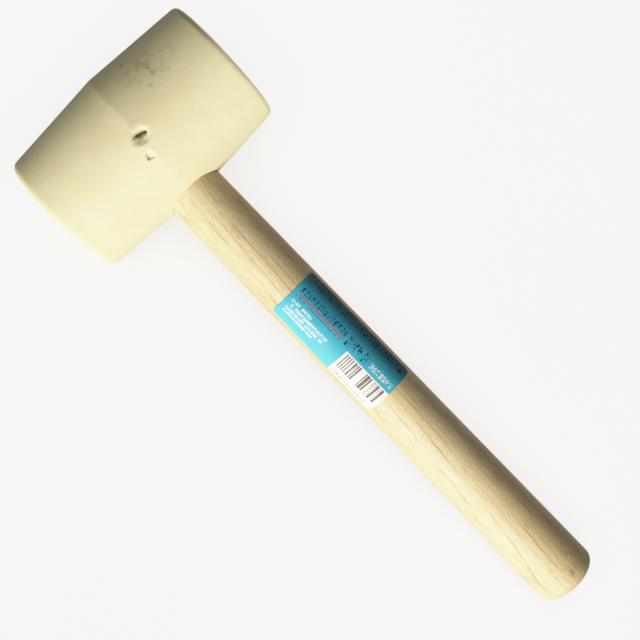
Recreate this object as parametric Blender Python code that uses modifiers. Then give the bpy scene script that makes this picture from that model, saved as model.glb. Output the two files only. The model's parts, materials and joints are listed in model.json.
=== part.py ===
"""Rubber mallet: a two-cone rubber head with a blind moulded socket, a turned wooden
handle bonded into it, and a printed label stuck over the top of the handle.

The pieces share one frame before the mallet is laid down: the middle of the head is the
origin, the head's axis is X, the handle leaves towards -Y, and +Z is the side that faces up.
The mallet then rests on one of its two cones and on the rim of the handle's butt."""

import math

import bpy
from mathutils import Matrix, Vector

# Rubber head
HEAD_HALF_LENGTH = 0.0525  # middle to the rim of a striking face
HEAD_MID_RADIUS = 0.0357  # at the moulding line, where the two cones meet
HEAD_RIM_RADIUS = 0.0324  # where a cone would meet its face, before rounding
FACE_CROWN = 0.0012  # how far a striking face bulges past its rim
FACE_LAND_RADIUS = 0.010  # flat middle of a striking face
FACE_EDGE_ROUND = 0.0036
CROWN_RUBBER = 0.0125  # rubber left between the socket's floor and the top of the head

# Wooden handle
NECK_RADIUS = 0.0144  # where the handle enters the head
BUTT_RADIUS = 0.0165
GRIP_LENGTH = 0.2623  # bare handle, from the head's underside to the butt
BUTT_EDGE_ROUND = 0.0042
TENON_END_RADIUS = 0.0125
TENON_END_ROUND = 0.0020

# Adhesive between the tenon and the socket
BOND_THICKNESS = 0.0004
BOND_SETBACK = 0.0100  # from the head's underside up to where the adhesive starts
BOND_FLOOR = 0.0010  # adhesive pooled under the tenon's end

# Label
LABEL_OFFSET = 0.0637  # from the head's underside to the label's near edge
LABEL_LENGTH = 0.0663
LABEL_WIDTH = 0.0325  # measured round the handle
LABEL_TURN = math.radians(4)  # from the handle's top line to the label's middle, towards +X
LABEL_THICKNESS = 0.0002

# Clearance between pieces that touch on the real mallet
GAP = 0.0003

# Roundness
HEAD_SEGMENTS = 72
HANDLE_SEGMENTS = 60
CROWN_STEPS = 2
ROUND_STEPS = 6
SMOOTH_ANGLE = math.radians(35)

# Heights along the handle's axis, from the head's middle towards its top
HEAD_UNDERSIDE = -HEAD_MID_RADIUS
SOCKET_FLOOR = HEAD_MID_RADIUS - CROWN_RUBBER
BOND_START = HEAD_UNDERSIDE + BOND_SETBACK
BOND_TOP = SOCKET_FLOOR - GAP
TENON_TOP = BOND_TOP - BOND_FLOOR - GAP
BUTT_END = HEAD_UNDERSIDE - GRIP_LENGTH

SOCKET_MOUTH_RADIUS = NECK_RADIUS + GAP
SOCKET_FLOOR_RADIUS = TENON_END_RADIUS + BOND_THICKNESS + 2 * GAP


def clear_scene():
    for obj in list(bpy.data.objects):
        bpy.data.objects.remove(obj, do_unlink=True)


def new_collection(name):
    collection = bpy.data.collections.new(name)
    bpy.context.scene.collection.children.link(collection)
    return collection


def new_material(name, colour, roughness, metallic=0.0):
    material = bpy.data.materials.new(name)
    material.use_nodes = True
    shader = material.node_tree.nodes["Principled BSDF"]
    shader.inputs["Base Color"].default_value = (*colour, 1.0)
    shader.inputs["Roughness"].default_value = roughness
    shader.inputs["Metallic"].default_value = metallic
    material.diffuse_color = (*colour, 1.0)
    return material


def rounded(before, corner, after, radius, steps=ROUND_STEPS):
    """The points of an arc that rounds a corner of a profile."""
    back = (before - corner).normalized()
    ahead = (after - corner).normalized()
    half = back.angle(ahead) / 2
    centre = corner + (back + ahead).normalized() * radius / math.sin(half)
    start = corner + back * radius / math.tan(half) - centre
    end = corner + ahead * radius / math.tan(half) - centre
    spokes = [start.slerp(end, step / steps).normalized() for step in range(steps + 1)]
    return [centre + spoke * radius for spoke in spokes]


def profile_object(name, points, collection, start_angle=0.0):
    """A line of (radius, height) points, standing in the half plane at start_angle."""
    mesh = bpy.data.meshes.new(name)
    across = Vector((math.cos(start_angle), math.sin(start_angle), 0.0))
    vertices = [across * point.x + Vector((0.0, 0.0, point.y)) for point in points]
    edges = [(index, index + 1) for index in range(len(points) - 1)]
    mesh.from_pydata(vertices, edges, [])
    obj = bpy.data.objects.new(name, mesh)
    collection.objects.link(obj)
    return obj


def spin(obj, segments, angle=math.tau):
    """Turns the profile round the object's own Z axis."""
    screw = obj.modifiers.new("turned", "SCREW")
    screw.axis = "Z"
    screw.angle = angle
    screw.steps = segments
    screw.render_steps = segments
    screw.use_merge_vertices = True
    screw.merge_threshold = 0.00001


def along_head(obj):
    """Lays the object's own Z axis along the head's axis."""
    obj.rotation_euler = (0.0, math.pi / 2, 0.0)


def along_handle(obj):
    """Lays the object's own Z axis along the handle, pointing to the top of the head."""
    obj.rotation_euler = (-math.pi / 2, 0.0, 0.0)


def socket_radius(height):
    share = (height - HEAD_UNDERSIDE) / (SOCKET_FLOOR - HEAD_UNDERSIDE)
    return SOCKET_MOUTH_RADIUS + (SOCKET_FLOOR_RADIUS - SOCKET_MOUTH_RADIUS) * share


def grip_radius(height):
    share = (HEAD_UNDERSIDE - height) / GRIP_LENGTH
    return NECK_RADIUS + (BUTT_RADIUS - NECK_RADIUS) * share


def bond_outer_radius(height):
    return socket_radius(height) - GAP


def bond_inner_radius(height):
    return bond_outer_radius(height) - BOND_THICKNESS


def tenon_radius(height):
    return bond_inner_radius(height) - GAP


def face_profile():
    """One striking face, from its centre out and over the rim to the head's middle."""
    rise = HEAD_RIM_RADIUS - FACE_LAND_RADIUS
    sphere = (rise**2 + FACE_CROWN**2) / (2 * FACE_CROWN)
    top = HEAD_HALF_LENGTH + FACE_CROWN
    crown = []
    for step in range(CROWN_STEPS + 1):
        out = rise * step / CROWN_STEPS
        crown.append(Vector((FACE_LAND_RADIUS + out, top - sphere + math.sqrt(sphere**2 - out**2))))
    middle = Vector((HEAD_MID_RADIUS, 0.0))
    rim = rounded(crown[-2], crown[-1], middle, FACE_EDGE_ROUND)
    return [Vector((0.0, top)), *crown[:-1], *rim, middle]


def make_socket_cutter(collection):
    overshoot = HEAD_MID_RADIUS
    outside = HEAD_UNDERSIDE - overshoot
    points = [
        Vector((0.0, SOCKET_FLOOR)),
        Vector((SOCKET_FLOOR_RADIUS, SOCKET_FLOOR)),
        Vector((SOCKET_MOUTH_RADIUS, HEAD_UNDERSIDE)),
        Vector((SOCKET_MOUTH_RADIUS, outside)),
        Vector((0.0, outside)),
    ]
    cutter = profile_object("socket_cutter", points, collection)
    spin(cutter, HANDLE_SEGMENTS)
    along_handle(cutter)
    cutter.hide_render = True
    cutter.display_type = "WIRE"
    return cutter


def make_head(collection, cutter):
    face = face_profile()
    other_face = [Vector((point.x, -point.y)) for point in reversed(face[:-1])]
    head = profile_object("rubber_head", face + other_face, collection)
    spin(head, HEAD_SEGMENTS)
    along_head(head)
    socket = head.modifiers.new("socket", "BOOLEAN")
    socket.operation = "DIFFERENCE"
    socket.solver = "EXACT"
    socket.object = cutter
    head.data.materials.append(new_material("cream_rubber", (0.80, 0.72, 0.50), 0.62))
    return head


def make_handle(collection):
    """A tenon with a shallow relief for the adhesive, then the tapered grip and the butt."""
    tenon_end = Vector((tenon_radius(TENON_TOP), TENON_TOP))
    relief_foot = Vector((tenon_radius(BOND_START), BOND_START - GAP))
    shoulder = Vector((bond_outer_radius(BOND_START), BOND_START - GAP))
    neck = Vector((NECK_RADIUS, HEAD_UNDERSIDE))
    butt = Vector((BUTT_RADIUS, BUTT_END))
    top_centre = Vector((0.0, TENON_TOP))
    butt_centre = Vector((0.0, BUTT_END))
    points = [
        top_centre,
        *rounded(top_centre, tenon_end, relief_foot, TENON_END_ROUND),
        relief_foot,
        shoulder,
        neck,
        *rounded(neck, butt, butt_centre, BUTT_EDGE_ROUND),
        butt_centre,
    ]
    handle = profile_object("wooden_handle", points, collection)
    spin(handle, HANDLE_SEGMENTS)
    along_handle(handle)
    handle.data.materials.append(new_material("pale_wood", (0.72, 0.58, 0.36), 0.55))
    return handle


def make_adhesive(collection):
    """A thin cup of adhesive round the tenon and under its end."""
    points = [
        Vector((0.0, BOND_TOP)),
        Vector((bond_outer_radius(BOND_TOP), BOND_TOP)),
        Vector((bond_outer_radius(BOND_START), BOND_START)),
        Vector((bond_inner_radius(BOND_START), BOND_START)),
        Vector((bond_inner_radius(BOND_TOP), BOND_TOP - BOND_FLOOR)),
        Vector((0.0, BOND_TOP - BOND_FLOOR)),
    ]
    adhesive = profile_object("adhesive_cup", points, collection)
    spin(adhesive, HANDLE_SEGMENTS)
    along_handle(adhesive)
    adhesive.data.materials.append(new_material("amber_adhesive", (0.55, 0.34, 0.10), 0.35))
    return adhesive


def make_label(collection):
    """A thin printed sheet stuck along the handle and bent over its top."""
    near = HEAD_UNDERSIDE - LABEL_OFFSET
    far = near - LABEL_LENGTH
    points = [
        Vector((grip_radius(near) + GAP, near)),
        Vector((grip_radius(far) + GAP, far)),
    ]
    wrap = LABEL_WIDTH / (grip_radius((near + far) / 2) + GAP)
    middle_line = LABEL_TURN - math.pi / 2  # in the label's own frame, once it lies along the handle
    label = profile_object("label", points, collection, middle_line - wrap / 2)
    steps = max(1, round(HANDLE_SEGMENTS * wrap / math.tau))
    spin(label, steps, wrap)
    sheet = label.modifiers.new("sheet", "SOLIDIFY")
    sheet.thickness = LABEL_THICKNESS
    sheet.offset = 1.0
    along_handle(label)
    label.data.materials.append(new_material("blue_label_film", (0.07, 0.38, 0.52), 0.30))
    return label


def drop_angle():
    """How far the handle dips from the head's middle when one cone and the butt touch down."""
    lean = math.atan2(HEAD_MID_RADIUS - HEAD_RIM_RADIUS, HEAD_HALF_LENGTH)
    head_depth = HEAD_MID_RADIUS * math.cos(lean)

    def butt_depth(dip):
        across = math.hypot(math.sin(lean), math.cos(lean) * math.cos(dip))
        reach = math.cos(lean) * math.sin(dip) * (-BUTT_END - BUTT_EDGE_ROUND)
        return reach + (BUTT_RADIUS - BUTT_EDGE_ROUND) * across + BUTT_EDGE_ROUND

    low, high = 0.0, math.pi / 4
    for _ in range(40):
        middle = (low + high) / 2
        if butt_depth(middle) < head_depth:
            low = middle
        else:
            high = middle
    return lean, low


def resting_rotation():
    """Turns the mallet onto its -X cone and its butt, with the handle lying along -Y."""
    lean, dip = drop_angle()
    up = Vector(
        (math.sin(lean), math.cos(lean) * math.sin(dip), math.cos(lean) * math.cos(dip))
    )
    to_head = Vector((0.0, 1.0, 0.0))
    to_head = (to_head - up * to_head.dot(up)).normalized()
    return Matrix((to_head.cross(up), to_head, up)).to_quaternion()


def settle_shape(piece):
    """Turns a piece's modifiers into its mesh, smooth on round surfaces and sharp at edges."""
    depsgraph = bpy.context.evaluated_depsgraph_get()
    shape = bpy.data.meshes.new_from_object(piece.evaluated_get(depsgraph))
    shape.name = piece.name
    shape.shade_smooth()
    shape.set_sharp_from_angle(angle=SMOOTH_ANGLE)
    piece.modifiers.clear()
    piece.data = shape


def set_down(root, pieces):
    """Moves the mallet so the bottom centre of its box is the origin."""
    bpy.context.view_layer.update()
    corners = [piece.matrix_world @ vertex.co for piece in pieces for vertex in piece.data.vertices]
    low = Vector([min(corner[axis] for corner in corners) for axis in range(3)])
    high = Vector([max(corner[axis] for corner in corners) for axis in range(3)])
    root.location -= Vector(((low.x + high.x) / 2, (low.y + high.y) / 2, low.z))


def main():
    clear_scene()
    parts = new_collection("rubber_mallet")
    cutters = new_collection("cutters")
    root = bpy.data.objects.new("mallet_frame", None)
    parts.objects.link(root)
    cutter = make_socket_cutter(cutters)
    pieces = [
        make_head(parts, cutter),
        make_handle(parts),
        make_adhesive(parts),
        make_label(parts),
    ]
    for obj in [*pieces, cutter]:
        obj.parent = root
    bpy.context.view_layer.update()
    for piece in pieces:
        settle_shape(piece)
    root.rotation_mode = "QUATERNION"
    root.rotation_quaternion = resting_rotation()
    set_down(root, pieces)


main()
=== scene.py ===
# Looks of the rubber mallet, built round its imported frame.
import json
import math

import bpy
import numpy as np
from mathutils import Euler, Matrix, Vector, noise


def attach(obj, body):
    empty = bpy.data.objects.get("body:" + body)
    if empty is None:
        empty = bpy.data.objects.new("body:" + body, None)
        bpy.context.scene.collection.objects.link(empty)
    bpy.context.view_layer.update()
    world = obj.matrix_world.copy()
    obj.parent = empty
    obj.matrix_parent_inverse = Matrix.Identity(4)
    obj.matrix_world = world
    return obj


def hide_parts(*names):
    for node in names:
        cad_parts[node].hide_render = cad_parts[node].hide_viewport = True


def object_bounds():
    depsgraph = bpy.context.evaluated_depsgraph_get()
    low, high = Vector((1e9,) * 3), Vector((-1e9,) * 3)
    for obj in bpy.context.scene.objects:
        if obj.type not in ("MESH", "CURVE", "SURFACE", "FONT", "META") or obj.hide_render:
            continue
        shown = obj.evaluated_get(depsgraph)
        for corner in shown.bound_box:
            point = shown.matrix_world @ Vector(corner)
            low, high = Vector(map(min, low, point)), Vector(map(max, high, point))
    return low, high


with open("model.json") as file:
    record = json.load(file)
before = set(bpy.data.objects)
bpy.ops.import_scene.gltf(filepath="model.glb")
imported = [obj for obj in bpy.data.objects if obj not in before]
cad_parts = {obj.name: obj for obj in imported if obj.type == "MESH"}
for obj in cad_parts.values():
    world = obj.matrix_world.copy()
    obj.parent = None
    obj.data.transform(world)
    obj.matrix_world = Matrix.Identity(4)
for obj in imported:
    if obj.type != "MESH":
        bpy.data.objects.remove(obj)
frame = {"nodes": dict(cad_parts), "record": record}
cadLow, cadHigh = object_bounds()

mm = 0.001
scene = bpy.context.scene

# The mallet's own frame, from the mounts: the middle of the head is the origin, X runs along the
# head, Y runs up the handle to the head's crown, and Z is the side that faces up.
mounts = {mount["name"]: mount for mount in frame["record"]["mounts"]}
faceHigh = Vector(mounts["striking_face_high"]["pos_m"])
faceLow = Vector(mounts["striking_face_low"]["pos_m"])
headWay = (faceHigh - faceLow).normalized()
upWay = headWay.cross(-Vector(mounts["butt_face"]["axis"])).normalized()
crownWay = upWay.cross(headWay)
malletPlace = Matrix((headWay, crownWay, upWay)).transposed().to_4x4()
malletPlace.translation = (faceHigh + faceLow) / 2


def packedPoints(node):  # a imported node's points, in the mallet's own frame
    toMallet = malletPlace.inverted()
    return np.array([toMallet @ vertex.co for vertex in frame["nodes"][node].data.vertices])


headPoints = packedPoints("rubber_head")
handlePoints = packedPoints("wooden_handle")
labelPoints = packedPoints("label")
bondPoints = packedPoints("adhesive_cup")
gap = 0.3 * mm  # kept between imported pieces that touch
skin = 0.06 * mm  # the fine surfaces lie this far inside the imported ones
headMidRadius = np.hypot(headPoints[:, 1], headPoints[:, 2]).max() - skin
headReach = abs(headPoints[:, 0]).max() - skin
buttRadius = np.hypot(handlePoints[:, 0], handlePoints[:, 2]).max() - skin
buttEnd = handlePoints[:, 1].min() + skin
tenonTop = handlePoints[:, 1].max()
tenonFoot = bondPoints[:, 1].min() - gap
socketFloor = bondPoints[:, 1].max() + gap
underside = -headMidRadius
print("frame measured")


cameraSet = {
    # in the mallet's own frame
    "place": (15.1 * mm, -82.8 * mm, 429.3 * mm),
    "turnDegrees": (-4.877, -1.918, -43.747),
    "lensMillimetres": 50.3,
    "sensorMillimetres": 36.0,
}


def makeCamera(values):
    data = bpy.data.cameras.new("lookingDown")
    data.lens = values["lensMillimetres"]
    data.sensor_width = values["sensorMillimetres"]
    data.clip_start = 0.01
    camera = bpy.data.objects.new("lookingDown", data)
    scene.collection.objects.link(camera)
    turns = Euler([math.radians(turn) for turn in values["turnDegrees"]])
    camera.matrix_world = malletPlace @ Matrix.Translation(values["place"]) @ turns.to_matrix().to_4x4()
    scene.camera = camera


makeCamera(cameraSet)
print("camera placed")


# Helpers for the shapes

def smooth(low, high, value):  # 0 below low, 1 above high, an easy curve between
    share = np.clip((value - low) / (high - low), 0.0, 1.0)
    return share * share * (3.0 - 2.0 * share)


def noiseOver(points, size, seed):  # soft noise from -1 to 1, with lumps about size metres across
    shift = Vector((seed * 7.31, seed * 3.17, seed * 5.73))
    return np.array([noise.noise(Vector(point) / size + shift) for point in points])


def resample(line, fineness):  # the line again, with fineness(line) points per metre
    steps = np.hypot(*np.diff(line, axis=0).T)
    along = np.concatenate(([0.0], np.cumsum(steps)))
    density = fineness(line)
    count = np.concatenate(([0.0], np.cumsum((density[1:] + density[:-1]) / 2 * steps)))
    wanted = np.linspace(0.0, count[-1], int(round(count[-1])) + 1)
    places = np.interp(wanted, count, along)
    return np.stack([np.interp(places, along, line[:, axis]) for axis in (0, 1)], axis=1)


def turnedMesh(name, rings, firstPole, lastPole):  # rings of points, closed by a pole at each end
    ringCount, around = rings.shape[:2]
    points = [tuple(firstPole), *map(tuple, rings.reshape(-1, 3)), tuple(lastPole)]
    faces = []
    for side in range(around):
        after = (side + 1) % around
        faces.append((0, 1 + side, 1 + after))
        for ring in range(ringCount - 1):
            here = 1 + ring * around
            below = here + around
            faces.append((here + side, below + side, below + after, here + after))
        foot = 1 + (ringCount - 1) * around
        faces.append((foot + side, len(points) - 1, foot + after))
    mesh = bpy.data.meshes.new(name)
    mesh.from_pydata(points, [], faces)
    return mesh


def standPiece(name, mesh, sharpDegrees=40.0):  # takes a mesh made in the mallet's own frame
    mesh.transform(malletPlace)
    mesh.shade_smooth()
    mesh.set_sharp_from_angle(angle=math.radians(sharpDegrees))
    piece = bpy.data.objects.new(name, mesh)
    scene.collection.objects.link(piece)
    return piece


def bakeModifiers(piece):
    evaluated = piece.evaluated_get(bpy.context.evaluated_depsgraph_get())
    shape = bpy.data.meshes.new_from_object(evaluated)
    piece.modifiers.clear()
    piece.data = shape


headShape = {
    "rimRadius": 32.4 * mm,
    "faceCrown": 1.2 * mm,
    "landRadius": 10.0 * mm,
    "edgeRound": 3.2 * mm,
    # the moulding flash: places round the head in degrees, and how far it strays from the middle
    "flashTurns": (-180.0, -120.0, -60.0, 0.0, 28.0, 53.0, 80.0, 96.0, 112.0, 132.0, 152.0, 180.0),
    "flashStrays": (-0.6, 0.3, -0.4, -0.8, -1.9, -1.8, 0.8, 0.2, -2.0, -2.5, -1.8, -0.6),
    "flashHeight": 0.055 * mm,
    "flashWidth": 0.22 * mm,
    "mouldStep": 0.03 * mm,
    "gatePlace": (0.7 * mm, 98.0),
    "gateReach": (5.6 * mm, 4.6 * mm),
    "gateDepth": 1.6 * mm,
    "ventPlace": (-2.2 * mm, 111.6),
    "ventReach": (2.7 * mm, 2.4 * mm),
    "ventDepth": 0.42 * mm,
    # the torn marks in the vent: two strokes that meet, along the head in mm and round it in degrees
    "ventTears": (((-2.7, 109.5), (-3.6, 113.0)), ((-3.6, 113.0), (-1.4, 114.1))),
    "tearDepth": 0.80 * mm,
    "tearWidth": 0.50 * mm,
    "lipHeight": 0.06 * mm,  # raised round the gate and the vent
    "swell": 0.07 * mm,
    "setBack": 0.10 * mm,  # the surface lies this far under the outline
    "socketLip": 0.35 * mm,
    "socketMouthRadius": 14.7 * mm,
    "socketFloorRadius": 13.5 * mm,
}


def headOutline(values):
    mid = np.array((0.0, headMidRadius))
    rim = np.array((headReach - values["faceCrown"], values["rimRadius"]))
    way = (rim - mid) / np.hypot(*(rim - mid))
    outward = np.array((-way[1], way[0]))
    rise = values["rimRadius"] - values["landRadius"]
    sphere = (rise**2 + values["faceCrown"] ** 2) / (2 * values["faceCrown"])
    sphereCentre = np.array((headReach - sphere, values["landRadius"]))
    # the edge's arc touches the cone and the crown of the face
    rounding = values["edgeRound"]
    start = mid - outward * rounding - sphereCentre
    run = -(way @ start) + math.sqrt((way @ start) ** 2 - start @ start + (sphere - rounding) ** 2)
    arcCentre = mid - outward * rounding + way * run
    lean = math.atan2(outward[1], outward[0])
    crownLean = math.atan2(*(arcCentre - sphereCentre)[::-1])
    land = np.linspace((headReach, 0.0), (headReach, values["landRadius"]), 60)
    crownTurns = np.linspace(0.0, crownLean, 120)[:, None]
    crown = sphereCentre + sphere * np.hstack((np.cos(crownTurns), np.sin(crownTurns)))
    edgeTurns = np.linspace(crownLean, lean, 160)[:, None]
    edge = arcCentre + rounding * np.hstack((np.cos(edgeTurns), np.sin(edgeTurns)))
    cone = np.linspace(edge[-1], mid, 900)
    half = np.vstack((land, crown[1:], edge[1:], cone[1:]))
    return np.vstack((half, half[-2::-1] * (-1.0, 1.0)))


def headFineness(line):  # points per metre: fine at the flash, coarser at the faces
    step = np.clip(0.15 * mm + 0.03 * abs(line[:, 0]), 0.0, 1.0 * mm)
    return 1.0 / step


def headTurns():  # angles round the head: fine at the gate and at the socket
    turns = np.linspace(-math.pi, math.pi, 7201)
    degrees = np.degrees(turns)
    density = 1.0 / 1.1 + 2.6 * np.exp(-(((degrees - 104.0) / 15.0) ** 4))
    density += 1.2 * np.exp(-(((degrees + 90.0) / 29.0) ** 6))
    count = np.concatenate(([0.0], np.cumsum(density[1:] * np.diff(turns) * headMidRadius / mm)))
    return np.interp(np.linspace(0.0, count[-1], int(count[-1]) + 1)[:-1], count, turns)


def awayFromStroke(along, turned, first, last):  # distance to a short stroke on the surface
    ends = [np.array((end[0] * mm, math.radians(end[1]) * headMidRadius)) for end in (first, last)]
    way = ends[1] - ends[0]
    share = ((along - ends[0][0]) * way[0] + (turned - ends[0][1]) * way[1]) / (way @ way)
    share = np.clip(share, 0.0, 1.0)
    return np.hypot(along - ends[0][0] - way[0] * share, turned - ends[0][1] - way[1] * share)


def headRelief(values, along, turn, points):  # how far each point stands proud of the outline
    degrees = np.degrees(turn)
    turned = turn * headMidRadius
    wobble = noiseOver(points, 3.0 * mm, 1)
    waver = noiseOver(points, 9.0 * mm, 2)
    onSide = smooth(headReach, headReach - 12 * mm, abs(along))
    relief = values["swell"] * noiseOver(points, 22.0 * mm, 3)
    relief += 0.25 * values["swell"] * wobble

    stray = np.interp(degrees, values["flashTurns"], values["flashStrays"]) * mm + 0.35 * mm * waver
    away = along - stray
    torn = smooth(-0.25, 0.45, noiseOver(points, 5.5 * mm, 4))
    relief += values["flashHeight"] * torn * np.exp(-((away / values["flashWidth"]) ** 2))
    second = away + (1.5 + 0.5 * wobble) * mm
    doubled = smooth(26.0, 34.0, degrees) * smooth(58.0, 50.0, degrees)
    relief += 0.35 * values["flashHeight"] * doubled * np.exp(-((second / values["flashWidth"]) ** 2))
    relief += values["mouldStep"] * onSide * (smooth(-0.3 * mm, 0.3 * mm, away) - 0.5)

    gateAlong, gateTurn = values["gatePlace"]
    gateOut = np.hypot((along - gateAlong) / values["gateReach"][0],
                       (turned - math.radians(gateTurn) * headMidRadius) / values["gateReach"][1])
    gateOut = gateOut * (1.0 + 0.10 * wobble)
    relief -= values["gateDepth"] * (1.0 - smooth(0.15, 1.0, gateOut))
    relief += values["lipHeight"] * np.exp(-(((gateOut - 1.15) / 0.25) ** 2)) * (1.0 + 0.5 * waver)

    ventAlong, ventTurn = values["ventPlace"]
    ventOut = np.hypot((along - ventAlong) / values["ventReach"][0],
                       (turned - math.radians(ventTurn) * headMidRadius) / values["ventReach"][1])
    relief -= values["ventDepth"] * (1.0 - smooth(0.3, 1.0, ventOut))
    relief += values["lipHeight"] * np.exp(-(((ventOut - 1.1) / 0.25) ** 2))
    for first, last in values["ventTears"]:
        tear = awayFromStroke(along, turned, first, last)
        relief -= values["tearDepth"] * np.exp(-((tear / values["tearWidth"]) ** 2))
    return relief


def makeHead(values):
    line = resample(headOutline(values), headFineness)
    turns = headTurns()
    slope = np.gradient(line, axis=0)
    normal = np.stack((slope[:, 1], -slope[:, 0]), axis=1)
    normal /= np.hypot(*normal.T)[:, None]
    inner = line[1:-1]
    rings = np.empty((len(inner), len(turns), 3))
    rings[..., 0] = inner[:, :1]
    rings[..., 1] = inner[:, 1:] * np.cos(turns)
    rings[..., 2] = inner[:, 1:] * np.sin(turns)
    outward = np.empty_like(rings)
    outward[..., 0] = normal[1:-1, :1]
    outward[..., 1] = normal[1:-1, 1:] * np.cos(turns)
    outward[..., 2] = normal[1:-1, 1:] * np.sin(turns)
    flat = rings.reshape(-1, 3)
    relief = headRelief(values, flat[:, 0], np.tile(turns, len(inner)), flat)
    # the surface turns gently into the socket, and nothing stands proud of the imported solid
    mouth = np.hypot(flat[:, 0], flat[:, 2]) - values["socketMouthRadius"]
    atMouth = (flat[:, 1] < 0.0) * np.clip(1.0 - mouth / values["socketLip"], 0.0, 1.0)
    relief -= values["socketLip"] * (1.0 - np.sqrt(1.0 - np.clip(atMouth, 0.0, 0.98) ** 2))
    relief = np.minimum(relief - values["setBack"], 0.0)
    rings += outward * relief.reshape(len(inner), len(turns), 1)
    mesh = turnedMesh("head", rings, (headReach - skin, 0, 0), (skin - headReach, 0, 0))
    return standPiece("head", mesh)


def cutSocket(head, values):
    sides = 144
    turns = np.linspace(0.0, math.tau, sides, endpoint=False)
    mouthRadius = values["socketMouthRadius"]
    outline = np.array((
        (values["socketFloorRadius"], socketFloor),
        (mouthRadius, underside),
        (mouthRadius, 2 * underside),
    ))
    rings = np.empty((len(outline), sides, 3))
    rings[..., 0] = outline[:, :1] * np.sin(turns)
    rings[..., 1] = outline[:, 1:]
    rings[..., 2] = outline[:, :1] * np.cos(turns)
    mesh = turnedMesh("socketCutter", rings, (0, socketFloor, 0), (0, 2 * underside, 0))
    cutter = standPiece("socketCutter", mesh)
    cut = head.modifiers.new("socket", "BOOLEAN")
    cut.operation = "DIFFERENCE"
    cut.solver = "EXACT"
    cut.object = cutter
    bakeModifiers(head)
    bpy.data.objects.remove(cutter)
    head.data.shade_smooth()
    head.data.set_sharp_from_angle(angle=math.radians(40.0))


head = makeHead(headShape)
print("head turned:", len(head.data.vertices), "points")
cutSocket(head, headShape)
print("socket cut")


nubShape = {
    # the torn rubber left in the gate: along the head in mm, round it in degrees, how far its
    # middle lies over the surface in mm, half its width in mm
    "spine": (
        (-3.0, 96.0, -1.10, 0.85),
        (-2.0, 96.8, -0.95, 1.10),
        (-1.3, 97.6, -0.85, 1.40),
        (-0.3, 98.1, -0.80, 1.22),
        (1.1, 98.4, -0.70, 0.98),
        (2.4, 98.6, -0.65, 0.98),
        (3.5, 98.8, -0.80, 0.86),
    ),
    "lumps": 0.20 * mm,
}


def makeGateNub(values):
    spine = np.array(values["spine"])
    rows = np.linspace(0, len(spine) - 1, 34)
    along, degrees, height, thick = (np.interp(rows, range(len(spine)), column) for column in spine.T)
    radius = headMidRadius + height * mm
    turn = np.radians(degrees)
    middle = np.stack((along * mm, radius * np.cos(turn), radius * np.sin(turn)), axis=1)
    ends = np.linspace(-1.0, 1.0, len(rows))
    girth = thick * mm * np.sqrt(np.clip(1.0 - abs(ends) ** 4.0, 0.02, 1.0))
    up = np.stack((np.zeros(len(rows)), np.cos(turn), np.sin(turn)), axis=1)
    side = np.stack((np.zeros(len(rows)), -np.sin(turn), np.cos(turn)), axis=1)
    around = np.linspace(0.0, math.tau, 32, endpoint=False)
    rings = (middle[:, None] + up[:, None] * (girth[:, None] * np.cos(around))[..., None]
             - side[:, None] * (girth[:, None] * np.sin(around))[..., None])
    flat = rings.reshape(-1, 3)
    away = flat - np.repeat(middle, len(around), axis=0)
    away /= np.linalg.norm(away, axis=1)[:, None]
    lumps = values["lumps"] * (noiseOver(flat, 0.9 * mm, 11) + 0.5 * noiseOver(flat, 0.4 * mm, 12))
    rings = (flat + away * lumps[:, None]).reshape(rings.shape)
    mesh = turnedMesh("gateNub", rings, middle[0] - (0.3 * mm, 0, 0), middle[-1] + (0.3 * mm, 0, 0))
    return standPiece("gateNub", mesh, 70.0)


gateNub = makeGateNub(nubShape)
print("gate nub made")


handleShape = {
    "neckRadius": 14.4 * mm,
    "buttRound": 4.2 * mm,
    "tenonRadius": 12.5 * mm,
    "tenonRound": 2.0 * mm,
    "tenonFootRadius": 13.5 * mm,
    "shoulderRadius": 14.2 * mm,
    "shoulderEdge": 0.1 * mm,
    "poleGap": 0.6 * mm,  # the first and last rings' radius
    "uneven": 0.05 * mm,
}


def handleOutline(values):
    neck = (values["neckRadius"] - skin, underside)
    quarter = np.linspace(0.0, math.pi / 2, 14)[:, None]
    taper = math.atan2(buttRadius - neck[0], underside - buttEnd)
    top = np.array((values["tenonRadius"] - values["tenonRound"], tenonTop - values["tenonRound"]))
    tenonEdge = top + values["tenonRound"] * np.hstack((np.sin(quarter), np.cos(quarter)))
    buttTurns = np.linspace(taper, math.pi / 2, 18)[:, None]
    butt = np.array((buttRadius - values["buttRound"], buttEnd + values["buttRound"]))
    buttEdge = butt + values["buttRound"] * np.hstack((np.cos(buttTurns), -np.sin(buttTurns)))
    return np.vstack((
        np.linspace((values["poleGap"], tenonTop), top + (0.0, values["tenonRound"]), 10)[:-1],
        tenonEdge,
        np.linspace(tenonEdge[-1], (values["tenonFootRadius"], tenonFoot), 40)[1:],
        ((values["shoulderRadius"], tenonFoot),),
        np.linspace((values["shoulderRadius"], tenonFoot - values["shoulderEdge"]), neck, 12),
        np.linspace(neck, buttEdge[0], 190)[1:],
        buttEdge[1:],
        np.linspace(buttEdge[-1], (values["poleGap"], buttEnd), 14)[1:],
    ))


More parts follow.
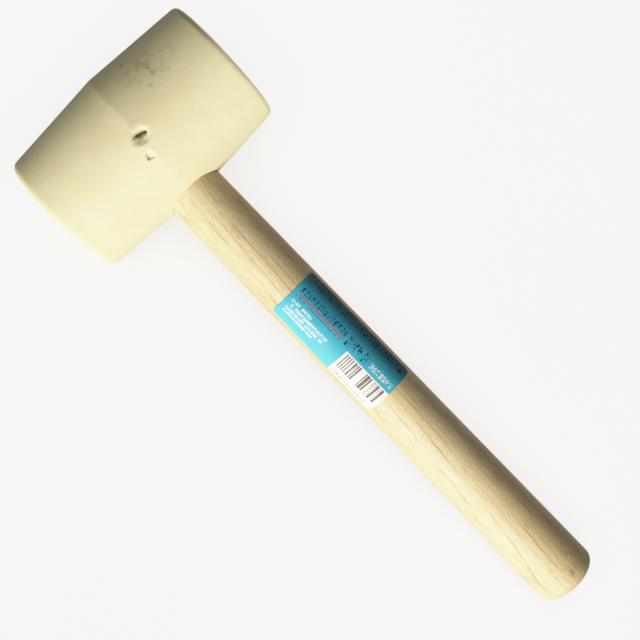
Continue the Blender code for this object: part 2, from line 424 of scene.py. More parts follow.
def makeHandle(values):
    line = handleOutline(values)
    turns = np.linspace(0.0, math.tau, 144, endpoint=False)
    rings = np.empty((len(line), len(turns), 3))
    rings[..., 0] = line[:, :1] * np.sin(turns)
    rings[..., 1] = line[:, 1:]
    rings[..., 2] = line[:, :1] * np.cos(turns)
    flat = rings.reshape(-1, 3)
    stretched = flat * (1.0, 0.2, 1.0)  # dents run along the grain
    dents = values["uneven"] * (noiseOver(stretched, 9.0 * mm, 21) - 1.0)
    dents *= smooth(tenonFoot, underside, flat[:, 1])
    flat[:, 0] += dents * np.sin(np.tile(turns, len(line)))
    flat[:, 2] += dents * np.cos(np.tile(turns, len(line)))
    rings = flat.reshape(rings.shape)
    mesh = turnedMesh("handle", rings, (0, tenonTop, 0), (0, buttEnd, 0))
    return standPiece("handle", mesh)


handle = makeHandle(handleShape)
print("handle turned:", len(handle.data.vertices), "points")


labelNear = labelPoints[:, 1].max()
labelFar = labelPoints[:, 1].min()
labelLength = labelNear - labelFar
labelTurns = np.arctan2(labelPoints[:, 0], labelPoints[:, 2])  # from the top, towards +X
labelRadius = np.hypot(labelPoints[:, 0], labelPoints[:, 2]).mean()
labelShape = {
    "lift": 0.05 * mm,  # over the wood
    "thickness": 0.12 * mm,
    "wrinkle": 0.04 * mm,
    "cornerRound": 2.2 * mm,
    "alongSteps": 110,
    "aroundSteps": 72,
}


def gripRadius(along):
    share = (underside - along) / (underside - buttEnd)
    return handleShape["neckRadius"] - skin + (buttRadius + skin - handleShape["neckRadius"]) * share


def makeLabel(values):
    shares = np.linspace(-1.0, 1.0, values["alongSteps"] + 1)  # closer together at both ends
    shares = 0.5 + 0.15 * shares + 0.35 * np.sin(shares * math.pi / 2)
    wraps = np.linspace(0.0, 1.0, values["aroundSteps"] + 1)
    width = (labelTurns.max() - labelTurns.min()) * labelRadius
    rounding = values["cornerRound"]
    points = []
    for share in shares:
        # the corners are round: the film narrows near both ends
        toEnd = min(share, 1.0 - share) * labelLength
        inset = rounding - math.sqrt(rounding**2 - max(0.0, rounding - toEnd) ** 2)
        along = labelNear - labelLength * share
        for wrap in wraps:
            across = inset / width + (1.0 - 2.0 * inset / width) * wrap
            turn = labelTurns.max() + (labelTurns.min() - labelTurns.max()) * across
            lumps = noise.noise(Vector((share * 9.0, wrap * 5.0, 4.0))) + 1.0
            radius = gripRadius(along) + values["lift"] + values["wrinkle"] * lumps
            points.append((radius * math.sin(turn), along, radius * math.cos(turn), share, across))
    row = len(wraps)
    faces = []
    for step in range(len(shares) - 1):
        for side in range(row - 1):
            corner = step * row + side
            faces.append((corner, corner + 1, corner + row + 1, corner + row))
    mesh = bpy.data.meshes.new("labelFilm")
    mesh.from_pydata([point[:3] for point in points], [], faces)
    layer = mesh.uv_layers.new(name="wrap")
    for loop in mesh.loops:
        layer.data[loop.index].uv = points[loop.vertex_index][3:]
    piece = standPiece("labelFilm", mesh)
    sheet = piece.modifiers.new("sheet", "SOLIDIFY")
    sheet.thickness = values["thickness"]
    sheet.offset = 1.0
    bakeModifiers(piece)
    return piece


labelFilm = makeLabel(labelShape)
print("label wrapped")


# Helpers for the materials

def addNode(tree, kind, inputs=None, **settings):
    node = tree.nodes.new("ShaderNode" + kind)
    for name, value in settings.items():
        setattr(node, name, value)
    for key, value in (inputs or {}).items():
        if isinstance(value, bpy.types.NodeSocket):
            tree.links.new(value, node.inputs[key])
        else:
            node.inputs[key].default_value = value
    return node


def maths(tree, operation, *values):
    return addNode(tree, "Math", dict(enumerate(values)), operation=operation).outputs[0]


def vectorMaths(tree, operation, *values):
    return addNode(tree, "VectorMath", dict(enumerate(values)), operation=operation).outputs[0]


def ramp(tree, value, low, high, toLow=0.0, toHigh=1.0):
    inputs = {"Value": value, "From Min": low, "From Max": high, "To Min": toLow, "To Max": toHigh}
    return addNode(tree, "MapRange", inputs, interpolation_type="SMOOTHSTEP").outputs["Result"]


def blendColour(tree, share, under, over):
    return addNode(tree, "Mix", {0: share, 6: under, 7: over}, data_type="RGBA").outputs[2]


def newGroup(name, inputs, outputs):
    tree = bpy.data.node_groups.new(name, "ShaderNodeTree")
    for label, kind, value in inputs:
        socket = tree.interface.new_socket(label, in_out="INPUT", socket_type="NodeSocket" + kind)
        if value is not None:
            socket.default_value = value
    for label, kind in outputs:
        tree.interface.new_socket(label, in_out="OUTPUT", socket_type="NodeSocket" + kind)
    return tree, tree.nodes.new("NodeGroupInput").outputs, tree.nodes.new("NodeGroupOutput").inputs


def useGroup(tree, group, **inputs):  # puts a node group into a material
    node = addNode(tree, "Group", node_tree=group)
    for name, value in inputs.items():
        if isinstance(value, bpy.types.NodeSocket):
            tree.links.new(value, node.inputs[name])
        else:
            node.inputs[name].default_value = value
    return node.outputs[0]


def makeMottle():  # soft patches, 0 to 1
    tree, source, sink = newGroup("mottle", [
        ("Vector", "Vector", None), ("Stretch", "Vector", (1.0, 1.0, 1.0)), ("Scale", "Float", 100.0),
        ("Detail", "Float", 3.0), ("Low", "Float", 0.35), ("High", "Float", 0.65)], [("Value", "Float")])
    where = vectorMaths(tree, "MULTIPLY", source["Vector"], source["Stretch"])
    cloud = addNode(tree, "TexNoise", {"Vector": where, "Scale": source["Scale"], "Detail": source["Detail"]})
    tree.links.new(ramp(tree, cloud.outputs["Fac"], source["Low"], source["High"]), sink["Value"])
    return tree


def makeFlecks():  # scattered specks: Share of the cells have one
    tree, source, sink = newGroup("flecks", [
        ("Vector", "Vector", None), ("Stretch", "Vector", (1.0, 1.0, 1.0)), ("Scale", "Float", 300.0),
        ("Share", "Float", 0.1), ("Size", "Float", 0.3)], [("Mask", "Float")])
    where = vectorMaths(tree, "MULTIPLY", source["Vector"], source["Stretch"])
    bend = addNode(tree, "TexNoise", {"Vector": where, "Scale": source["Scale"], "Detail": 2.0})
    shift = vectorMaths(tree, "SUBTRACT", bend.outputs["Color"], (0.5, 0.5, 0.5))
    shift = vectorMaths(tree, "DIVIDE", shift, addNode(
        tree, "CombineXYZ", {0: source["Scale"], 1: source["Scale"], 2: source["Scale"]}).outputs[0])
    where = vectorMaths(tree, "ADD", where, shift)
    cells = addNode(tree, "TexVoronoi", {"Vector": where, "Scale": source["Scale"]})
    draws = addNode(tree, "SeparateColor", {0: cells.outputs["Color"]})
    chosen = maths(tree, "LESS_THAN", draws.outputs[0], source["Share"])
    reach = maths(tree, "MULTIPLY", source["Size"], maths(tree, "ADD", draws.outputs[1], 0.35))
    speck = ramp(tree, maths(tree, "DIVIDE", cells.outputs["Distance"], reach), 1.0, 0.55)
    tree.links.new(maths(tree, "MULTIPLY", chosen, speck), sink["Mask"])
    return tree


def makeHairlines():  # thin wandering lines, where a soft noise crosses its middle
    tree, source, sink = newGroup("hairlines", [
        ("Vector", "Vector", None), ("Stretch", "Vector", (1.0, 1.0, 1.0)), ("Scale", "Float", 100.0),
        ("Detail", "Float", 1.0), ("Width", "Float", 0.02)], [("Mask", "Float")])
    where = vectorMaths(tree, "MULTIPLY", source["Vector"], source["Stretch"])
    cloud = addNode(tree, "TexNoise", {"Vector": where, "Scale": source["Scale"], "Detail": source["Detail"]})
    away = maths(tree, "ABSOLUTE", maths(tree, "SUBTRACT", cloud.outputs["Fac"], 0.5))
    line = ramp(tree, maths(tree, "DIVIDE", away, source["Width"]), 1.0, 0.0)
    tree.links.new(line, sink["Mask"])
    return tree


def makeSpot():  # a soft region round a point, 1 in its middle
    tree, source, sink = newGroup("spot", [
        ("Vector", "Vector", None), ("Centre", "Vector", (0.0, 0.0, 0.0)),
        ("Reach", "Vector", (0.01, 0.01, 0.01)), ("Core", "Float", 0.3)], [("Mask", "Float")])
    away = vectorMaths(tree, "SUBTRACT", source["Vector"], source["Centre"])
    away = vectorMaths(tree, "DIVIDE", away, source["Reach"])
    length = addNode(tree, "VectorMath", {0: away}, operation="LENGTH").outputs["Value"]
    tree.links.new(ramp(tree, length, 1.0, source["Core"]), sink["Mask"])
    return tree


mottle = makeMottle()
flecks = makeFlecks()
hairlines = makeHairlines()
spot = makeSpot()


def newMaterial(name, **settings):
    material = bpy.data.materials.new(name)
    material.use_nodes = True
    shader = material.node_tree.nodes["Principled BSDF"]
    for label, value in settings.items():
        shader.inputs[label].default_value = value
    return material, material.node_tree, shader


def finishSurface(tree, shader, colour, roughness, height, bumpValues):
    strength, depth = bumpValues
    bump = addNode(tree, "Bump", {"Height": height, "Strength": strength, "Distance": depth})
    tree.links.new(colour, shader.inputs["Base Color"])
    tree.links.new(roughness, shader.inputs["Roughness"])
    tree.links.new(bump.outputs["Normal"], shader.inputs["Normal"])


def ownPlace(tree):  # coordinates in the mallet's own frame
    where = addNode(tree, "TexCoord").outputs["Object"]
    inputs = {"Vector": where, "Location": malletPlace.translation, "Rotation": malletPlace.to_euler()}
    return addNode(tree, "Mapping", inputs, vector_type="TEXTURE").outputs["Vector"]


def onHead(along, degrees):  # a point on the head's surface, from mm along and degrees round
    turn = math.radians(degrees)
    radius = headMidRadius - abs(along) * mm * (headMidRadius - headShape["rimRadius"]) / headReach
    return (along * mm, radius * math.cos(turn), radius * math.sin(turn))


rubberLook = {
    "cream": (0.725, 0.637, 0.360, 1.0),
    "warm": (0.705, 0.602, 0.332, 1.0),
    "pale": (0.77, 0.695, 0.43, 1.0),
    "dirt": (0.16, 0.14, 0.085, 1.0),
    "speck": (0.22, 0.16, 0.09, 1.0),
    "paleShare": 0.35,
    "speckShade": 0.6,
    # a dull, pitted area where the mould was dirty: mm along the head, degrees round it
    "dirtPlace": (24.0, 63.0),
    "dirtReach": (17.0 * mm, 14.0 * mm, 12.0 * mm),
    "dirtHaze": 0.26,
    "dirtMarks": 0.55,
    "bump": (0.5, 0.06 * mm),  # strength, depth
}


def makeRubber(values):
    material, tree, shader = newMaterial("creamRubber", IOR=1.5)
    where = ownPlace(tree)
    patches = useGroup(tree, mottle, Vector=where, Scale=32.0, Detail=3.0)
    colour = blendColour(tree, patches, values["cream"], values["warm"])
    light = useGroup(tree, mottle, Vector=where, Scale=110.0, Detail=4.0, Low=0.45, High=0.75)
    colour = blendColour(tree, maths(tree, "MULTIPLY", light, values["paleShare"]), colour, values["pale"])
    # the dirty area
    region = useGroup(tree, spot, Vector=where, Centre=onHead(*values["dirtPlace"]),
                      Reach=values["dirtReach"], Core=0.25)
    smears = useGroup(tree, mottle, Vector=where, Scale=210.0, Detail=6.0, Low=0.46, High=0.60)
    haze = maths(tree, "MULTIPLY", region, maths(tree, "MULTIPLY_ADD", smears, values["dirtHaze"], 0.08))
    pits = useGroup(tree, flecks, Vector=where, Scale=480.0, Share=0.34, Size=0.40)
    pits = maths(tree, "MULTIPLY", pits, maths(tree, "MULTIPLY_ADD", smears, 0.8, 0.2))
    creases = useGroup(tree, hairlines, Vector=where, Scale=260.0, Detail=3.0, Width=0.016)
    creases = maths(tree, "MULTIPLY", creases, smears)
    marks = maths(tree, "MAXIMUM", pits, maths(tree, "MULTIPLY", creases, 0.8))
    marks = maths(tree, "MULTIPLY", marks, region)
    colour = blendColour(tree, haze, colour, values["dirt"])
    colour = blendColour(tree, maths(tree, "MULTIPLY", marks, values["dirtMarks"]), colour, values["dirt"])
    # specks all over
    fine = useGroup(tree, flecks, Vector=where, Scale=420.0, Share=0.035, Size=0.26)
    large = useGroup(tree, flecks, Vector=where, Scale=75.0, Share=0.16, Size=0.075)
    specks = maths(tree, "MAXIMUM", maths(tree, "MULTIPLY", fine, 0.5), large)
    speckled = maths(tree, "MULTIPLY", specks, values["speckShade"])
    colour = blendColour(tree, speckled, colour, values["speck"])
    roughness = maths(tree, "MULTIPLY_ADD", light, 0.10, 0.56)
    grain = useGroup(tree, mottle, Vector=where, Scale=1500.0, Detail=2.0, Low=0.2, High=0.8)
    soft = useGroup(tree, mottle, Vector=where, Scale=260.0, Detail=3.0, Low=0.2, High=0.8)
    height = maths(tree, "ADD", maths(tree, "MULTIPLY", grain, 0.25), soft)
    height = maths(tree, "SUBTRACT", height, maths(tree, "MULTIPLY", marks, 1.2))
    height = maths(tree, "SUBTRACT", height, specks)
    finishSurface(tree, shader, colour, roughness, height, values["bump"])
    return material


nubLook = {
    "olive": (0.16, 0.165, 0.075, 1.0),
    "green": (0.25, 0.275, 0.125, 1.0),
    "brown": (0.10, 0.09, 0.045, 1.0),
    "bump": (0.8, 0.08 * mm),
}


def makeNubRubber(values):
    material, tree, shader = newMaterial("tornRubber", IOR=1.5)
    where = ownPlace(tree)
    patches = useGroup(tree, mottle, Vector=where, Scale=520.0, Detail=2.0)
    colour = blendColour(tree, patches, values["olive"], values["green"])
    ends = useGroup(tree, mottle, Vector=where, Scale=900.0, Detail=3.0, Low=0.5, High=0.7)
    colour = blendColour(tree, ends, colour, values["brown"])
    roughness = maths(tree, "MULTIPLY_ADD", patches, 0.2, 0.5)
    height = useGroup(tree, mottle, Vector=where, Scale=2600.0, Detail=4.0)
    finishSurface(tree, shader, colour, roughness, height, values["bump"])
    return material


woodLook = {
    "pale": (0.745, 0.60, 0.325, 1.0),
    "straw": (0.70, 0.54, 0.27, 1.0),
    "lateWood": (0.40, 0.25, 0.10, 1.0),
    "line": (0.33, 0.20, 0.085, 1.0),
    "fleck": (0.27, 0.145, 0.06, 1.0),
    "ringMiddle": (0.030, 0.0, -0.022),  # the pith, beside the handle
    "ringWidth": 2.1 * mm,
    "ringSway": 6.0 * mm,
    "ringSlope": 0.040,  # how fast the rings run out of the handle's side
    # how dark each mark is
    "fibreShade": 0.22,
    "lineShade": 0.50,
    "poreShade": 0.32,
    "fuzzShade": 0.24,
    "fleckShade": 0.6,
    # brown flecks near the butt: along the handle in mm, round it in degrees towards +X
    "fleckPlaces": ((-280.0, 34.0), (-284.0, 26.0), (-293.0, 15.0), (-261.0, 47.0)),
    "fleckReach": (3.2 * mm, 8.0 * mm, 3.2 * mm),
    "bump": (0.6, 0.07 * mm),
}


def makeWood(values):
    material, tree, shader = newMaterial("paleWood", IOR=1.5)
    where = ownPlace(tree)
    # year rings, cut nearly along the grain
    sway = addNode(tree, "TexNoise", {"Vector": vectorMaths(tree, "MULTIPLY", where, (1.0, 0.14, 1.0)),
                                      "Scale": 45.0, "Detail": 3.0}).outputs["Fac"]
    parts = addNode(tree, "SeparateXYZ", {0: vectorMaths(tree, "SUBTRACT", where, values["ringMiddle"])})
    out = maths(tree, "SQRT", maths(tree, "ADD", maths(tree, "POWER", parts.outputs[0], 2.0),
                                    maths(tree, "POWER", parts.outputs[2], 2.0)))
    out = maths(tree, "MULTIPLY_ADD", sway, values["ringSway"], out)
    out = maths(tree, "MULTIPLY_ADD", parts.outputs[1], values["ringSlope"], out)
    phase = maths(tree, "FRACT", maths(tree, "DIVIDE", out, values["ringWidth"]))
    late = maths(tree, "MULTIPLY", ramp(tree, phase, 0.74, 0.93), ramp(tree, phase, 1.0, 0.95))
    fade = useGroup(tree, mottle, Vector=where, Stretch=(1.0, 0.16, 1.0), Scale=110.0, Detail=3.0,
                    Low=0.42, High=0.66)
    late = maths(tree, "MULTIPLY", late, maths(tree, "MULTIPLY_ADD", fade, 0.80, 0.18))
    broad = useGroup(tree, mottle, Vector=where, Stretch=(1.0, 0.15, 1.0), Scale=60.0, Detail=3.0)
    colour = blendColour(tree, broad, values["pale"], values["straw"])
    colour = blendColour(tree, late, colour, values["lateWood"])
    # fibres, broken dark lines and short pores
    fibres = useGroup(tree, mottle, Vector=where, Stretch=(1.0, 0.06, 1.0), Scale=1500.0, Detail=4.0,
                      Low=0.3, High=0.7)
    colour = blendColour(tree, maths(tree, "MULTIPLY", fibres, values["fibreShade"]), colour, values["line"])
    lines = useGroup(tree, hairlines, Vector=where, Stretch=(1.0, 0.03, 1.0), Scale=600.0,
                     Detail=4.0, Width=0.045)
    breaks = useGroup(tree, mottle, Vector=where, Stretch=(1.0, 0.35, 1.0), Scale=240.0, Detail=4.0,
                      Low=0.50, High=0.62)
    lines = maths(tree, "MULTIPLY", lines, breaks)
    colour = blendColour(tree, maths(tree, "MULTIPLY", lines, values["lineShade"]), colour, values["line"])
    pores = useGroup(tree, flecks, Vector=where, Stretch=(1.0, 0.2, 1.0), Scale=1000.0, Share=0.16, Size=0.36)
    colour = blendColour(tree, maths(tree, "MULTIPLY", pores, values["poreShade"]), colour, values["fleck"])
    stains = useGroup(tree, mottle, Vector=where, Stretch=(1.0, 0.4, 1.0), Scale=420.0, Detail=4.0,
                      Low=0.50, High=0.60)
    for along, degrees in values["fleckPlaces"]:
        turn = math.radians(degrees)
        centre = (buttRadius * math.sin(turn), along * mm, buttRadius * math.cos(turn))
        patch = useGroup(tree, spot, Vector=where, Centre=centre, Reach=values["fleckReach"], Core=0.2)
        patch = maths(tree, "MULTIPLY", maths(tree, "MULTIPLY", patch, stains), values["fleckShade"])
        colour = blendColour(tree, patch, colour, values["fleck"])
    roughness = maths(tree, "MULTIPLY_ADD", fibres, 0.18, 0.46)
    height = maths(tree, "SUBTRACT", fibres, maths(tree, "ADD", pores, maths(tree, "MULTIPLY", lines, 0.7)))
    height = maths(tree, "SUBTRACT", height, maths(tree, "MULTIPLY", late, 0.5))
    # the fuzz that sanding leaves
    fuzz = useGroup(tree, mottle, Vector=where, Stretch=(1.0, 0.5, 1.0), Scale=1500.0, Detail=3.0,
                    Low=0.36, High=0.64)
    colour = blendColour(tree, maths(tree, "MULTIPLY", fuzz, values["fuzzShade"]), colour, values["line"])
    height = maths(tree, "MULTIPLY_ADD", fuzz, 1.1, height)
    finishSurface(tree, shader, colour, roughness, height, values["bump"])
    return material


adhesiveLook = {
    "amber": (0.55, 0.34, 0.10, 1.0),
    "dark": (0.36, 0.19, 0.05, 1.0),
    "bump": (0.4, 0.05 * mm),
}


def makeAdhesive(values):
    material, tree, shader = newMaterial("curedAdhesive", IOR=1.48)
    where = ownPlace(tree)
    drips = useGroup(tree, mottle, Vector=where, Scale=160.0, Detail=3.0)
    colour = blendColour(tree, drips, values["amber"], values["dark"])
    roughness = maths(tree, "MULTIPLY_ADD", drips, 0.2, 0.25)
    bubbles = useGroup(tree, flecks, Vector=where, Scale=700.0, Share=0.2, Size=0.4)
    finishSurface(tree, shader, colour, roughness, bubbles, values["bump"])
    return material


def makeMarkRow():  # a row of scribbled blocks that stand in for print; they are no letters
    tree, source, sink = newGroup("markRow", [
        ("Along", "Float", 0.0), ("Around", "Float", 0.0), ("Start", "Float", 0.0), ("End", "Float", 10.0),
        ("Foot", "Float", 0.0), ("Top", "Float", 3.0), ("Pitch", "Float", 2.0), ("Curl", "Float", 2.5),
        ("Stroke", "Float", 0.1), ("Full", "Float", 0.9), ("Seed", "Float", 1.0)], [("Mask", "Float")])
    tall = maths(tree, "SUBTRACT", source["Top"], source["Foot"])
    height = maths(tree, "DIVIDE", maths(tree, "SUBTRACT", source["Around"], source["Foot"]), tall)
    run = maths(tree, "DIVIDE", maths(tree, "SUBTRACT", source["Along"], source["Start"]), source["Pitch"])
    cell = maths(tree, "FLOOR", run)
    across = maths(tree, "MULTIPLY_ADD", maths(tree, "FRACT", run), 1.25, -0.125)
    curl = maths(tree, "MULTIPLY", source["Curl"], maths(tree, "DIVIDE", tall, source["Pitch"]))
    corner = addNode(tree, "CombineXYZ", {
        0: maths(tree, "MULTIPLY", across, source["Curl"]), 1: maths(tree, "MULTIPLY", height, curl),
        2: maths(tree, "MULTIPLY_ADD", cell, 5.7, source["Seed"])}).outputs[0]
    cloud = addNode(tree, "TexNoise", {"Vector": corner, "Scale": 1.0, "Detail": 0.0}).outputs["Fac"]
    away = maths(tree, "ABSOLUTE", maths(tree, "SUBTRACT", cloud, 0.5))
    stroke = ramp(tree, maths(tree, "DIVIDE", away, source["Stroke"]), 1.1, 0.9)
    block = addNode(tree, "CombineXYZ", {0: cell, 1: source["Seed"]}).outputs[0]
    kept = maths(tree, "LESS_THAN", addNode(tree, "TexWhiteNoise", {"Vector": block}).outputs["Value"],
                 source["Full"])
    body = maths(tree, "MULTIPLY", stroke, kept)
    for value, low, high in ((across, 0.0, 1.0), (height, 0.0, 1.0),
                             (source["Along"], source["Start"], source["End"])):
        body = maths(tree, "MULTIPLY", body, maths(tree, "GREATER_THAN", value, low))
        body = maths(tree, "MULTIPLY", body, maths(tree, "LESS_THAN", value, high))
    tree.links.new(body, sink["Mask"])
    return tree


def makeBarRow():  # stripes of random width, which encode nothing
    tree, source, sink = newGroup("barRow", [
        ("Along", "Float", 0.0), ("Around", "Float", 0.0), ("Start", "Float", 0.0), ("End", "Float", 10.0),
        ("Foot", "Float", 0.0), ("Top", "Float", 3.0), ("Module", "Float", 0.27), ("Seed", "Float", 1.0)],
        [("Mask", "Float")])
    cell = maths(tree, "FLOOR", maths(tree, "DIVIDE", source["Along"], source["Module"]))
    where = addNode(tree, "CombineXYZ", {0: cell, 1: source["Seed"]}).outputs[0]
    draw = addNode(tree, "TexWhiteNoise", {"Vector": where}).outputs["Value"]
    body = maths(tree, "GREATER_THAN", draw, 0.52)
    for low, value, high in (("Start", "Along", "End"), ("Foot", "Around", "Top")):
        body = maths(tree, "MULTIPLY", body, maths(tree, "GREATER_THAN", source[value], source[low]))
        body = maths(tree, "MULTIPLY", body, maths(tree, "LESS_THAN", source[value], source[high]))
    tree.links.new(body, sink["Mask"])
    return tree


markRow = makeMarkRow()
barRow = makeBarRow()

# Places on the label are in mm: along it from the edge near the head, and round the handle from
# the line that faces up, positive towards the head's low face.
labelLook = {
    # the ground's print runs from deep teal on the +X side to cyan towards the low face; the deep end also
    # holds painted shade for the side turned from the key light, and the cyan end holds painted light for the
    # lit side
    "deepPaintedShade": (0.015, 0.125, 0.18, 1.0),
    "sky": (0.05, 0.36, 0.455, 1.0),
    "cyanPaintedLight": (0.115, 0.50, 0.56, 1.0),
    "navy": (0.012, 0.02, 0.085, 1.0),
    "red": (0.50, 0.03, 0.075, 1.0),
    "ink": (0.008, 0.03, 0.038, 1.0),
    "bar": (0.035, 0.026, 0.02, 1.0),
    "white": (0.80, 0.82, 0.80, 1.0),
    "panel": (0.78, 0.75, 0.65, 1.0),
    "panelStart": 37.8,
    "panelFoot": 0.4,
    "marks": (
        # colour, strength, start, end, foot, top, pitch, curl, stroke, full, seed
        ("ink", 0.95, 1.2, 64.8, -16.4, -10.9, 2.6, 2.3, 0.10, 1.0, 3.0),
        ("navy", 0.95, 2.2, 32.6, -6.7, -3.3, 2.17, 2.2, 0.09, 0.94, 5.0),
        ("red", 0.95, 0.0, 33.0, -2.7, -2.0, 36.0, 1.0, 9.0, 1.0, 8.0),  # a plain rule under the row
        ("navy", 0.95, 33.6, 48.2, -6.2, -0.9, 3.6, 2.3, 0.075, 1.0, 14.0),
        ("ink", 0.6, 2.2, 31.5, -1.4, -0.3, 1.0, 1.6, 0.12, 0.9, 21.0),
        ("white", 0.9, 50.2, 64.8, -4.4, -1.4, 2.1, 2.2, 0.09, 1.0, 27.0),
        ("white", 0.75, 2.6, 16.0, 1.2, 2.7, 1.3, 1.8, 0.13, 0.95, 31.0),
        ("white", 0.75, 2.6, 28.0, 3.5, 5.1, 1.4, 1.8, 0.13, 0.95, 37.0),
        ("white", 0.75, 2.6, 27.0, 5.9, 7.4, 1.3, 1.8, 0.13, 0.94, 41.0),
        ("white", 0.75, 2.6, 22.0, 8.1, 9.5, 1.3, 1.8, 0.13, 0.95, 43.0),
    ),
    # start, end, foot, top of the panel's stripes and of the small row under them
    "bars": (39.0, 64.4, 0.9, 9.6),
    "barModule": 0.33,
    "digits": (38.6, 62.0, 12.2, 13.9),
    "barShade": 0.9,
    "digitShade": 0.75,
    "scuffShade": 0.10,
    "dustShade": 0.3,
    "bump": (0.25, 0.04 * mm),
}


def makeLabelFilm(values):
    material, tree, shader = newMaterial("printedFilm", IOR=1.3)
    wrap = addNode(tree, "UVMap", uv_map="wrap").outputs["UV"]
    parts = addNode(tree, "SeparateXYZ", {0: wrap})
    along = maths(tree, "MULTIPLY", parts.outputs[0], labelLength / mm)
    around = ramp(tree, parts.outputs[1], 0.0, 1.0, -labelTurns.max() * labelRadius / mm,
                  -labelTurns.min() * labelRadius / mm)
    around.node.interpolation_type = "LINEAR"
    # printed ground from deep teal to cyan, with painted shade on the +X side and painted light on the low
    # face's side
    colour = blendColour(tree, ramp(tree, around, -17.0, -3.0), values["deepPaintedShade"], values["sky"])
    colour = blendColour(tree, ramp(tree, around, 3.0, 17.0), colour, values["cyanPaintedLight"])
    for name, strength, start, end, foot, top, pitch, curl, stroke, full, seed in values["marks"]:
        marks = useGroup(tree, markRow, Along=along, Around=around, Start=start, End=end, Foot=foot, Top=top,
                         Pitch=pitch, Curl=curl, Stroke=stroke, Full=full, Seed=seed)
        colour = blendColour(tree, maths(tree, "MULTIPLY", marks, strength), colour, values[name])
    panel = maths(tree, "MULTIPLY", maths(tree, "GREATER_THAN", along, values["panelStart"]),
                  maths(tree, "GREATER_THAN", around, values["panelFoot"]))
    colour = blendColour(tree, panel, colour, values["panel"])
    start, end, foot, top = values["bars"]
    bars = useGroup(tree, barRow, Along=along, Around=around, Start=start, End=end, Foot=foot, Top=top,
                    Module=values["barModule"], Seed=3.0)
    colour = blendColour(tree, maths(tree, "MULTIPLY", bars, values["barShade"]), colour, values["bar"])
    start, end, foot, top = values["digits"]
    digits = useGroup(tree, markRow, Along=along, Around=around, Start=start, End=end, Foot=foot, Top=top,
                      Pitch=1.75, Curl=2.2, Stroke=0.10, Full=1.0, Seed=51.0)
    colour = blendColour(tree, maths(tree, "MULTIPLY", digits, values["digitShade"]), colour, values["bar"])
    where = ownPlace(tree)
    scuffs = useGroup(tree, hairlines, Vector=where, Stretch=(1.0, 0.3, 1.0), Scale=260.0,
                      Detail=3.0, Width=0.008)
    dust = useGroup(tree, flecks, Vector=where, Scale=600.0, Share=0.03, Size=0.3)
    worn = maths(tree, "MAXIMUM", maths(tree, "MULTIPLY", scuffs, values["scuffShade"]),
                 maths(tree, "MULTIPLY", dust, values["dustShade"]))
    colour = blendColour(tree, worn, colour, values["white"])
    fade = useGroup(tree, mottle, Vector=where, Scale=120.0, Detail=4.0)
    roughness = maths(tree, "MULTIPLY_ADD", fade, 0.14, 0.42)
    height = maths(tree, "MULTIPLY_ADD", useGroup(tree, mottle, Vector=where, Stretch=(1.0, 0.2, 1.0),
                                                  Scale=420.0, Detail=2.0), 0.5, scuffs)
    finishSurface(tree, shader, colour, roughness, height, values["bump"])
    return material


def wear(piece, material):
    piece.data.materials.clear()
    piece.data.materials.append(material)


wear(head, makeRubber(rubberLook))
wear(gateNub, makeNubRubber(nubLook))
wear(handle, makeWood(woodLook))
wear(labelFilm, makeLabelFilm(labelLook))
adhesive = frame["nodes"]["adhesive_cup"]
adhesive.material_slots[0].material = makeAdhesive(adhesiveLook)
print("materials made")

for piece, slotName, node in (
    (head, "head_rubber", "rubber_head"),
    (gateNub, "head_rubber", None),
    (handle, "handle_wood", "wooden_handle"),
    (labelFilm, "label_film", "label"),
):
    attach(piece, "root")
    if node:
        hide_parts(node)


stageSet = {
    "floorSize": 6.0,
    "floorColour": (0.86, 0.86, 0.855, 1.0),
    "floorStain": 0.985,
    "roomColour": (1.0, 0.99, 0.97, 1.0),
    "floorGlow": 0.75,  # added to the floor where the camera sees it
    "roomLight": 0.05,  # what the room adds to the light
    "roomShown": 0.80,  # how bright it looks from the side
    # lights: where each comes from, metres across, watts, colour
    "key": ((-0.62, -0.26, 0.46), 0.55, 14.5, (1.0, 1.0, 1.0)),
    "rim": ((0.66, 0.12, 0.05), 0.30, 0.5, (0.95, 0.98, 1.0)),
    "edge": ((0.54, -0.37, 0.02), 0.09, 2.5, (1.0, 1.0, 1.0)),  # for the head only
    "overFloor": ((0.0, 0.0, 1.6), 2.4, 26.0, (1.0, 1.0, 1.0)),
    # the tone's shoulder: light in, light shown
    "toneWhite": 2.0,
    "tone": ((0.6, 0.6), (0.8, 0.76), (1.0, 0.86), (1.3, 0.94), (1.6, 0.975), (2.0, 1.0)),
}


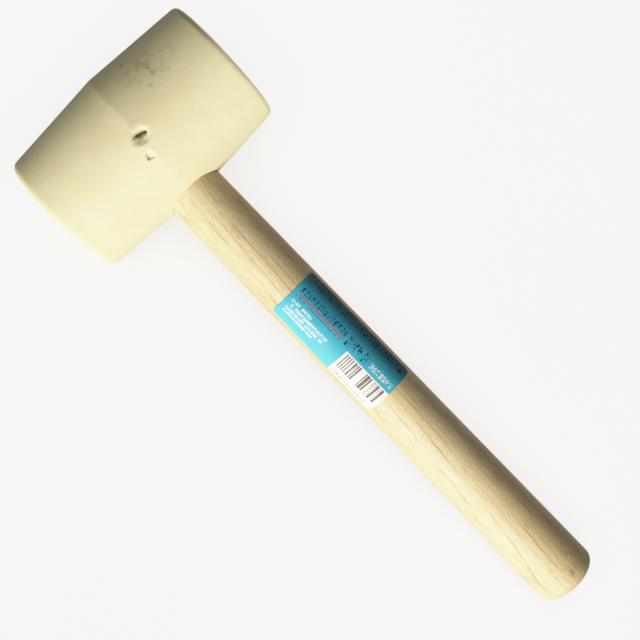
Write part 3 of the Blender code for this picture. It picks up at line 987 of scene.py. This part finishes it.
def makeFloor(values):
    half = values["floorSize"] / 2
    mesh = bpy.data.meshes.new("floor")
    corners = [(-half, -half, 0), (half, -half, 0), (half, half, 0), (-half, half, 0)]
    mesh.from_pydata(corners, [], [(0, 1, 2, 3)])
    floor = bpy.data.objects.new("floor", mesh)
    scene.collection.objects.link(floor)
    material, tree, shader = newMaterial("paleFloor", Roughness=0.9)
    soft = useGroup(tree, mottle, Vector=ownPlace(tree), Scale=3.0, Detail=4.0)
    stained = [part * values["floorStain"] for part in values["floorColour"]]
    shade = blendColour(tree, soft, values["floorColour"], stained)
    tree.links.new(shade, shader.inputs["Base Color"])
    tree.links.new(shade, shader.inputs["Emission Color"])
    seen = addNode(tree, "LightPath").outputs["Is Camera Ray"]
    tree.links.new(maths(tree, "MULTIPLY", seen, values["floorGlow"]), shader.inputs["Emission Strength"])
    wear(floor, material)
    return floor


def makeLight(name, target, values):
    start, size, watts, colour = values
    data = bpy.data.lights.new(name, "AREA")
    data.size = size
    data.energy = watts
    data.color = colour
    light = bpy.data.objects.new(name, data)
    scene.collection.objects.link(light)
    light.location = target + Vector(start)
    light.rotation_euler = (-Vector(start)).to_track_quat("-Z", "Y").to_euler()
    return light


def lightOnly(light, pieces, alone=False):  # the light falls on these; alone: only they block it
    chosen = bpy.data.collections.new(light.name + "Falls")
    for piece in pieces:
        chosen.objects.link(piece)
    light.light_linking.receiver_collection = chosen
    if alone:
        light.light_linking.blocker_collection = chosen


def makeRoom(values):  # dim as a light, pale where it shows behind the floor
    world = bpy.data.worlds.new("paleRoom")
    world.use_nodes = True
    tree = world.node_tree
    shown = addNode(tree, "LightPath").outputs["Is Camera Ray"]
    reach = values["roomShown"] - values["roomLight"]
    strength = maths(tree, "MULTIPLY_ADD", shown, reach, values["roomLight"])
    tree.nodes["Background"].inputs["Color"].default_value = values["roomColour"]
    tree.links.new(strength, tree.nodes["Background"].inputs["Strength"])
    scene.world = world


def setTone(values):
    view = scene.view_settings
    view.view_transform = "Standard"
    view.use_curve_mapping = True
    curves = view.curve_mapping
    curves.white_level = [values["toneWhite"]] * 3
    shoulder = curves.curves[3]
    *between, last = values["tone"]
    for light, shown in between:
        shoulder.points.new(light / values["toneWhite"], shown)
    shoulder.points[-1].location = (last[0] / values["toneWhite"], last[1])
    curves.update()


def setStage(values):
    floor = makeFloor(values)
    makeRoom(values)
    middle = (cadLow + cadHigh) / 2
    pieces = [head, gateNub, handle, labelFilm, adhesive]
    lightOnly(makeLight("keyLight", middle, values["key"]), pieces)
    lightOnly(makeLight("rimLight", middle, values["rim"]), pieces)
    lightOnly(makeLight("edgeLight", middle, values["edge"]), [head, gateNub], alone=True)
    lightOnly(makeLight("floorLight", Vector(), values["overFloor"]), [floor])
    setTone(values)


setStage(stageSet)
print("stage lit")

bpy.context.view_layer.update()
